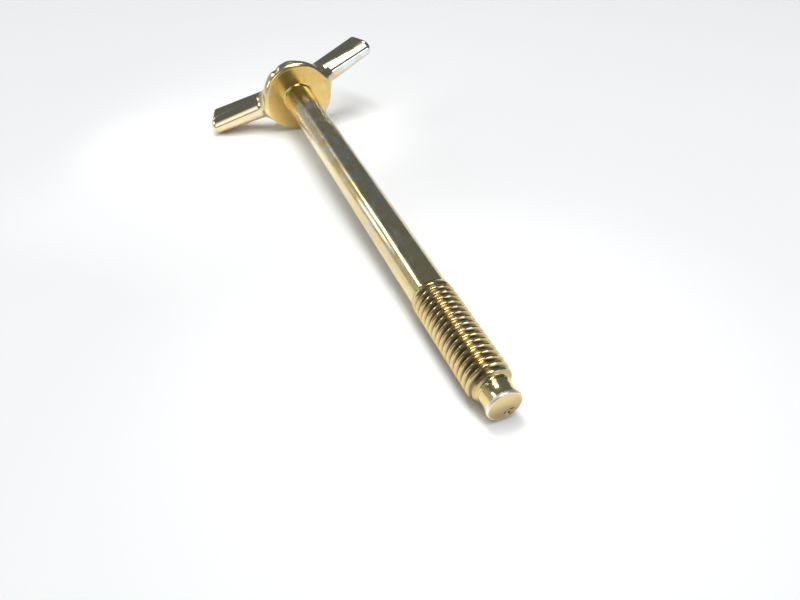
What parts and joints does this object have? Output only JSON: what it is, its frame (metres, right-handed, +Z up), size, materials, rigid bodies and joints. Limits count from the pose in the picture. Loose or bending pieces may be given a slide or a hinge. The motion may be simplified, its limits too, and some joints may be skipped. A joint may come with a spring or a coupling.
{
  "type": "wing bolt",
  "caption": "Steel wing bolt with a collar under two swept-back wings, a long plain shank, a threaded end and a dog point, for tightening by hand.",
  "frame": {"origin": "on the surface that the bolt lies on, under the middle of its bounding box", "axes": "+X along the lying bolt from its point to its wings, +Y towards the wing that touches the surface, +Z up"},
  "size_m": [0.0894, 0.0338, 0.0136],
  "materials": {
    "yellow_zinc": "bright yellow-passivated zinc plate"
  },
  "bodies": {
    "root": {"wing_bolt": "yellow_zinc"}
  },
  "joints": []
}
